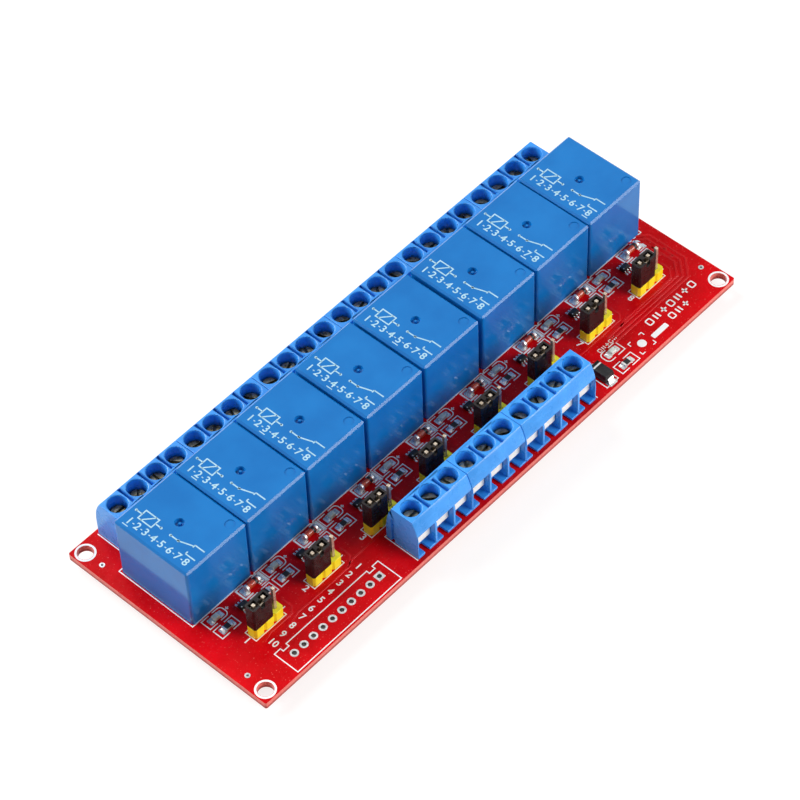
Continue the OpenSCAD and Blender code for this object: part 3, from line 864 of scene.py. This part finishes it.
def lamp_print(shape, k):
    """An outline that is square at -X and round at +X, with a plus beside it."""
    x0, y0, x1, y1 = channel_area(k, *LAMP_AREA)
    r = 0.85
    print_line(shape, [(x0 + 1.9, y1), (x0, y1), (x0, y0), (x0 + 1.9, y0)])
    bend = arc(x1 - r, y0 + r, r, -90, 0) + arc(x1 - r, y1 - r, r, 0, 90)
    print_line(shape, [(x0 + 2.8, y0), *bend, (x0 + 2.8, y1)])
    print_plus(shape, *at_channel(k, *LAMP_PLUS_AT), 0.35)


def diode_print(shape, k):
    """An outline open at its long sides, with a thick line at the banded end."""
    x0, y0, x1, y1 = channel_area(k, *DIODE_AREA)
    print_line(shape, [(x0 + 2.0, y0), (x0, y0), (x0, y1), (x0 + 1.9, y1)], width=0.34)
    print_line(shape, [(x1 - 1.9, y0), (x1, y0), (x1, y1), (x1 - 1.9, y1)], width=0.24)
    print_line(shape, [(x1 - 0.35, y0), (x1 - 0.35, y1)], width=0.5)


def header_print(shape, k):
    """An open outline with a tick at its +X end, and the channel's number."""
    low, mid, high = HEADERS[k - 1].low, HEADERS[k - 1].mid, HEADERS[k - 1].high
    x0, y0 = low.x - HEADER_GAP, low.y - HEADER_GAP
    x1, y1 = high.x + HEADER_GAP, high.y + HEADER_GAP
    outline = [(low.x + 0.8, y1), (x0, y1), (x0, y0), (x1, y0), (x1, low.y + 0.5)]
    print_line(shape, outline, width=THIN_LINE)
    print_line(shape, [(high.x + 0.1, mid.y), (high.x + 1.3, mid.y)], width=THIN_LINE)
    print_number(shape, k, *at_channel(k, *NUMBER_AT))


def relay_outline(shape):
    """The printed line along the relays' foot, stepped between neighbours."""
    front = RELAYS[0].low.y - 0.12
    left = RELAYS[0].low.x - 0.28
    right = RELAYS[-1].high.x + 0.3
    back = RELAYS[0].high.y + 0.3
    points = [(right, back), (right, front)]
    for before, after in zip(RELAYS[-2::-1], RELAYS[:0:-1]):
        x = (before.high.x + after.low.x) / 2
        points += [(x + 0.25, front), (x + 0.1, front - 0.3), (x - 0.35, front - 0.3), (x - 0.5, front)]
    print_line(shape, points + [(left, front), (left, back)], closed=True)


def corner_ring(shape, x, y):
    """The printed ring round a mounting hole."""
    section = (
        (RING_INNER, PRINT_LOW), (RING_OUTER, PRINT_LOW),
        (RING_OUTER, PRINT_HIGH), (RING_INNER, PRINT_HIGH),
    )
    rings = [[(x + px, y + py, z) for px, py in disc(radius, 40)] for radius, z in section]
    shape.tube(rings, PRINT, closed=True)


def socket_print(shape):
    """Outline of the socket that isn't fitted, with two steps at the back, and its ways' numbers."""
    x0, y0, x1, y1 = corner_area(*SOCKET_AREA)
    low = y1 - 0.75
    left = [(x0 + 3.1, y1), (x0 + 3.1, low), (x0 + 1.6, low), (x0 + 1.6, y1)]
    right = [(x1 - 1.6, y1), (x1 - 1.6, low), (x1 - 3.1, low), (x1 - 3.1, y1)]
    print_line(shape, [(x0, y0), (x1, y0), (x1, y1), *right, *left, (x0, y1)], closed=True)
    for pin in range(SOCKET_PINS):
        x = SOCKET_LEFT + (SOCKET_PINS - 1 - pin) * PIN_PITCH
        print_number(shape, pin + 1, x - 0.9, y1 + 1.9)


def power_print(shape):
    """Outlines of the power lamp, its resistor and the rectifier."""
    x0, y0, x1, y1 = corner_area(*POWER_LAMP_AREA)
    r = 0.9
    print_line(shape, [(x0 + 2.7, y1), (x1, y1), (x1, y0), (x0 + 2.7, y0)])
    bend = arc(x0 + r, y1 - r, r, 90, 180) + arc(x0 + r, y0 + r, r, 180, 270)
    print_line(shape, [(x0 + 1.9, y1), *bend, (x0 + 1.9, y0)])
    bracket(shape, *corner_area(*POWER_CHIP_AREA), 2.0)
    x0, y0, x1 = RECTIFIER.low.x - 0.35, RECTIFIER.low.y - 0.35, RECTIFIER.high.x + 0.35
    middle = RECTIFIER.mid.y
    print_line(shape, [(x0, middle + 1), (x0, y0), (x1, y0), (x1, middle - 1.2)])


def terminal_print(shape):
    """A corner at each end of both terminal rows, along their ends and the side away from the edge."""
    for blocks, outward in ((FRONT_BLOCKS, -1), (REAR_BLOCKS, 1)):
        low, high = blocks[0].low, blocks[-1].high
        edge = low.y if outward < 0 else high.y
        inner = (high.y if outward < 0 else low.y) - outward * 0.16
        for x, inward in ((low.x, 1), (high.x, -1)):
            out = x - 0.2 * inward
            print_line(shape, [(x + inward, inner), (out, inner), (out, edge)])


def mark_row(shape, x, y, step, count, size):
    """A row of plain shapes where the photo has wording: boxes, bars and crosses by turns."""
    half = size / 2
    for i in range(count):
        px, py = from_corner(x + i * step, y)
        if i % 3 == 0:
            box = [(px + dx, py + dy) for dx, dy in rounded(size * 0.85, size, size * 0.2, 3)]
            print_line(shape, box, closed=True, width=size * 0.2)
        elif i % 3 == 1:
            for bar in (px - 0.3 * size, px + 0.3 * size):
                print_line(shape, [(bar, py - half), (bar, py + half)], width=size * 0.26)
        else:
            print_plus(shape, px, py, half, width=size * 0.24)


def end_marks(shape):
    """Plain marks at the right end: rows of simple shapes, a block, and a frame round a round spot."""
    mark_row(shape, 114.5, 5.5, 2.15, 7, 1.45)
    mark_row(shape, 118.7, 3.25, 2.05, 3, 1.35)
    mark_row(shape, 102.5, 8.1, 1.08, 5, 0.8)
    print_patch(shape, *from_corner(114.1, 2.6), rounded(4.4, 1.15, 0.25, 3))
    x, y = from_corner(109.3, 3.15)
    for across in (-1, 1):
        for along in (-1, 1):
            side = x + 2.0 * across
            end = y + 1.9 * along
            print_line(shape, [(x + 1.2 * across, end), (side, end), (side, y + 1.1 * along)])
    print_patch(shape, x, y, disc(0.95))


def add_print():
    shape = Shape()
    for k in CHANNELS:
        for area in CHIP_AREAS:
            bracket(shape, *channel_area(k, *area), 1.95)
        lamp_print(shape, k)
        diode_print(shape, k)
        header_print(shape, k)
    relay_outline(shape)
    socket_print(shape)
    for x, y in CORNERS:
        corner_ring(shape, x, y)
    power_print(shape)
    terminal_print(shape)
    end_marks(shape)
    shape.piece("screen_print_top", "board", "red_board")


# ---------- pads, relay print and copper under the mask ----------

PAD_RADIUS = 0.86
HOLE_RADIUS = 0.47
CORNER_DOTS = ((2.35, 44.5), (2.32, 6.84), (132.1, 6.9), (132.0, 44.4))

# The relays' print as (u, v): u runs from the rear edge to the front, and v from the -X edge
COIL = ((2.9, 3.5), (6.3, 3.5), (6.3, 5.7), (2.9, 5.7))
DIAGRAM_LINES = (
    ((1.4, 4.6), (2.9, 4.6)),
    ((3.6, 3.5), (5.6, 5.7)),
    ((6.3, 4.6), (7.8, 4.6)),
    ((10.2, 4.6), (12.2, 4.6), (15.0, 5.55)),
    ((15.2, 5.9), (17.6, 5.9)),
    ((15.2, 3.4), (17.6, 3.4)),
    ((15.2, 5.9), (15.2, 5.3)),
    ((15.2, 3.4), (15.2, 4.0)),
)
DIAGRAM_SPOTS = ((10.2, 4.6), (12.2, 4.6), (1.4, 4.6), (7.8, 4.6))
SCALE_START = 2.2
SCALE_STEP = 2.05
SCALE_V = 2.0

COPPER_LOW = TOP - 0.01
COPPER_HIGH = TOP + 0.035


def socket_pad(shape, place, square):
    """A plated hole with a tinned ring above the board and one below, round or square."""
    under = BOARD.low.z
    hole = disc(HOLE_RADIUS, 32)
    outer = disc(PAD_RADIUS, 32)
    if square:
        outer = [[PAD_RADIUS * max(-1, min(1, 1.5 * v / HOLE_RADIUS)) for v in point] for point in hole]
    for low, high in ((TOP - 0.01, TOP + 0.03), (under - 0.03, under + 0.01)):
        section = ((hole, low), (outer, low), (outer, high), (hole, high))
        shape.tube([[(px, py, z) for px, py in loop] for loop, z in section], PAD, place, closed=True)
    # The barrel wears the darkened plating, which paints the shade inside the hole
    barrel = [(0.5, under), (0.5, TOP), (0.465, TOP + 0.02), (0.465, under - 0.02)]
    shape.turned(barrel, HOLE_PLATING_SHADED, place, closed=True)


def add_pads():
    """The bare holes' pads, of which the last is square, and the bare dots near the corners."""
    shape = Shape()
    for pin in range(SOCKET_PINS):
        place = at(SOCKET_LEFT + pin * PIN_PITCH, SOCKET_Y, 0)
        socket_pad(shape, place, square=pin == SOCKET_PINS - 1)
    ring = [(0.57, TOP - 0.01), (0.56, TOP + 0.03), (0.26, TOP + 0.03), (0.24, TOP - 0.01)]
    for x, y in CORNER_DOTS:
        place = at(*from_corner(x, y), 0)
        shape.turned(ring, PAD, place, closed=True)
        # A flat dark disc on the top face: painted shade of the hole in each dot
        shape.prism(disc(0.26, 20), TOP - 0.01, TOP + 0.005, HOLE_SHADE, place)
    shape.piece("pads_top", "board", "tinned_metal", smooth=35)


def relay_print(shape, k, box):
    """A coil and contact diagram over the channels' numbers, with a bar over this relay's own."""
    low, high = box.high.z - 0.01, box.high.z + FILM

    def spot(u, v):
        return box.low.x + v, box.high.y - u

    def line(points, closed=False, width=0.27):
        stroke(shape, [spot(*p) for p in points], width, low, high, RELAY_PRINT, closed)

    line(COIL, closed=True)
    for points in DIAGRAM_LINES:
        line(points)
    for place in DIAGRAM_SPOTS:
        x, y = spot(*place)
        shape.prism([(x + px, y + py) for px, py in disc(0.28, 16)], low, high, RELAY_PRINT)
    for other in CHANNELS:
        u = SCALE_START + SCALE_STEP * (other - 1)
        numeral(shape, str(other), *spot(u, SCALE_V), 1.65, low, high, RELAY_PRINT)
        if other < len(RELAYS):
            line([(u + 0.85, SCALE_V), (u + 1.25, SCALE_V)], width=0.2)
        if other == k:
            line([(u - 0.7, 0.85), (u + 0.7, 0.85)], width=0.2)


def add_relay_print():
    shape = Shape()
    for k, box in zip(CHANNELS, RELAYS):
        relay_print(shape, k, box)
    shape.piece("relay_print", "board", "relay_blue")


def track(shape, points, width=0.45):
    stroke(shape, points, width, COPPER_LOW, COPPER_HIGH, COPPER_MASK, chamfer=0.05)


def channel_tracks(shape):
    """From beside each header to a pair of lines in front of the row."""
    bus = HEADERS[0].low.y - 0.75
    for k in CHANNELS:
        x, y = at_channel(k, 0, 0)
        level = bus if k % 2 else bus - 0.7
        end = x - 12.0 if k > 1 else x - 3
        side = x + 6.0
        bend = y - 0.9
        corner = side - (bend - level)
        track(shape, [(side, y + 1.7), (side, bend), (corner, level), (end + 2, level), (end, level - 0.6)])


def end_loops(shape):
    """Three tracks that loop round the right end, and the covered holes among them."""
    x, y = at_channel(len(RELAYS), 0, 0)
    for i, reach in enumerate((8.1, 9.2, 10.3)):
        back = y + 10.6 + 0.9 * i
        front = y - 3.2 - 0.9 * i
        track(shape, [
            (x + 1.0 - i, back), (x + 5.0, back), (x + reach, y + 7.2 + 0.4 * i),
            (x + reach, y - 0.4 - 0.5 * i), (x + 5.6 + 0.6 * i, front), (x - 16, front),
        ], 0.5)
    dome = [(0.42, COPPER_LOW), (0.36, COPPER_HIGH), (0.12, COPPER_HIGH)]
    for dx, dy in ((7.6, 3.0), (8.8, 0.9), (9.6, 3.2), (7.9, 5.2)):
        shape.turned(dome, COPPER_MASK, at(x + dx, y + dy, 0), steps=20)


def underside_tracks(shape):
    """Broad lines from the relays' contacts to the rear terminals."""
    low = BOARD.low.z
    for box in RELAYS:
        for dx in (-6, 0, 6):
            x = box.mid.x + dx
            ends = [(x, box.mid.y + 7.1), (x, REAR_BLOCKS[0].mid.y)]
            stroke(shape, ends, 2.4, low - 0.035, low + 0.01, COPPER_MASK)


def add_copper():
    """Copper that shows as low ridges under the mask, above and below the board."""
    shape = Shape()
    channel_tracks(shape)
    end_loops(shape)
    underside_tracks(shape)
    shape.piece("copper_under_mask", "board", "red_board", smooth=20)


add_camera()
add_world()
add_floor()
for light in LIGHTS:
    add_light(*light)

dress(["circuit_board"], MASK)
dress(each("relay_{}", 8), RELAY, 0.08)
dress(each("rear_terminal_{}", 6) + each("front_terminal_{}", 3), TERMINAL, 0.15)
dress(["relay_pins", "rear_solder_legs", "front_solder_legs"], TIN)
dress(["rear_screw_frames", "front_screw_frames", "rear_wire_guards", "front_wire_guards"], NICKEL, 0.04)
# The screws take the darkened plating, which paints the shade of their wells
dress(["rear_screws", "front_screws"], ZINC_SHADED, 0.05)
dress(each("header_base_{}", 8), YELLOW, 0.06)
dress(["header_pins"], BRASS, 0.08)
dress(each("jumper_cap_{}", 8), BLACK, 0.09)
dress(each("jumper_clip_{}", 8), BRASS, 0.03)
add_small_parts()
add_print()
add_pads()
add_relay_print()
add_copper()

bpy.context.scene.view_settings.view_transform = "Standard"
